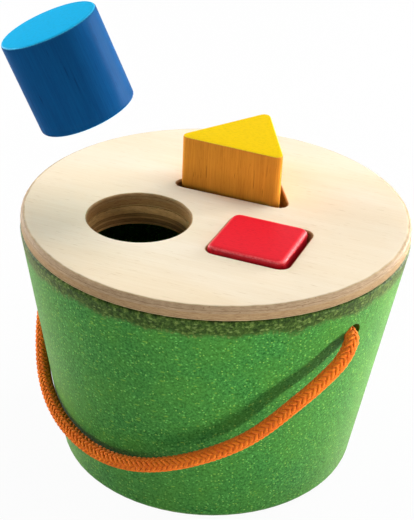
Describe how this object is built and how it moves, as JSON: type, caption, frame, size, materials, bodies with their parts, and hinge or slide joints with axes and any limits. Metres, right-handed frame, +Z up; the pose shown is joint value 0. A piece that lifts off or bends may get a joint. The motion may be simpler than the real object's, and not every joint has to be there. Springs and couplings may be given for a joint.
{
  "type": "shape sorter box",
  "caption": "Tapered bucket of pressed wood with a plywood lid that has round, triangular and square holes, wooden blocks to drop through them, and a rope carry handle.",
  "frame": {"origin": "middle of the bucket's underside, on the surface that it stands on", "axes": "+Z up; -Y is the side of the lid where the round and the square hole are; +X towards the square hole"},
  "size_m": [0.1483, 0.1456, 0.1792],
  "materials": {
    "pressed_wood": "satin",
    "plywood": "matt",
    "blue_paint": "satin paint",
    "yellow_paint": "satin paint",
    "red_paint": "satin paint",
    "orange_braid": "braided"
  },
  "bodies": {
    "bucket": {"bucket": "pressed_wood"},
    "lid": {"lid_board": "plywood", "lid_locating_disc": "plywood"},
    "square_block": {"square_block": "red_paint"},
    "prism_block": {"prism_block": "yellow_paint"},
    "cylinder_block": {"cylinder_block": "blue_paint"},
    "handle": {"handle_rope": "orange_braid", "rope_knot_right": "orange_braid", "rope_knot_left": "orange_braid"}
  },
  "joints": [
    {"name": "lid_lift", "type": "slide", "parent": "bucket", "child": "lid", "axis": [0, 0, 1], "range_m": [0, 0.04]},
    {"name": "square_block_drop", "type": "slide", "parent": "lid", "child": "square_block", "axis": [0, 0, 1], "range_m": [-0.0625, 0.045]},
    {"name": "prism_block_drop", "type": "slide", "parent": "lid", "child": "prism_block", "axis": [0, 0, 1], "range_m": [-0.08, 0.0275]},
    {"name": "cylinder_block_swing", "type": "hinge", "parent": "lid", "child": "cylinder_block", "pos_m": [-0.13353, -0.06342, 0.07386], "axis": [0.3584, -0.9336, 0], "range_deg": [-23.2, 0]},
    {"name": "handle_swing", "type": "hinge", "parent": "bucket", "child": "handle", "pos_m": [0, 0, 0.0798], "axis": [0.9063, -0.4226, 0], "range_deg": [-131, 0], "deforming": ["handle_rope"]}
  ]
}
